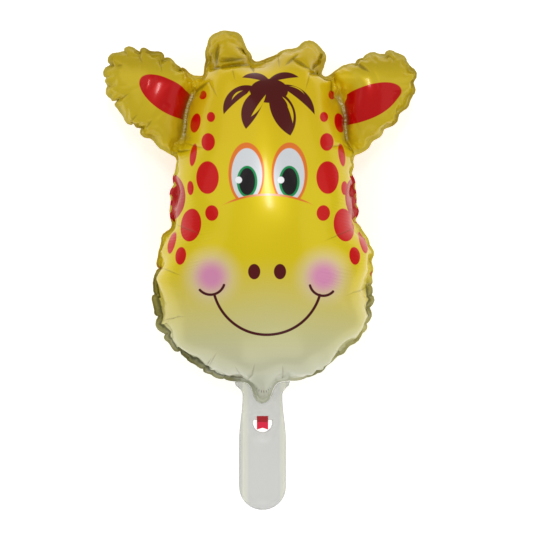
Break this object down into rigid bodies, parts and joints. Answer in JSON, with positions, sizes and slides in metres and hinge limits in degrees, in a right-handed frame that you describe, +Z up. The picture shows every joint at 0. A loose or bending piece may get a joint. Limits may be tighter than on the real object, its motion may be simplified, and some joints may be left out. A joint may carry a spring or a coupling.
{
  "type": "giraffe foil balloon",
  "caption": "Air-filled foil balloon shaped as a giraffe's head with ears and horns, lying on its back, on a clear film handle with a filling hole.",
  "frame": {"origin": "middle of the small flat on the balloon's back, where it lies on the floor", "axes": "+Z up out of the giraffe's face, +Y to the top of its head, +X to the right in the picture"},
  "size_m": [0.3155, 0.4798, 0.1426],
  "materials": {
    "printed_foil": "glossy printed film",
    "clear_film": "clear glossy film",
    "red_film": "glossy printed film"
  },
  "bodies": {
    "root": {"balloon_envelope": "printed_foil", "handle_sleeve": "clear_film", "valve_tab": "red_film"}
  },
  "joints": []
}
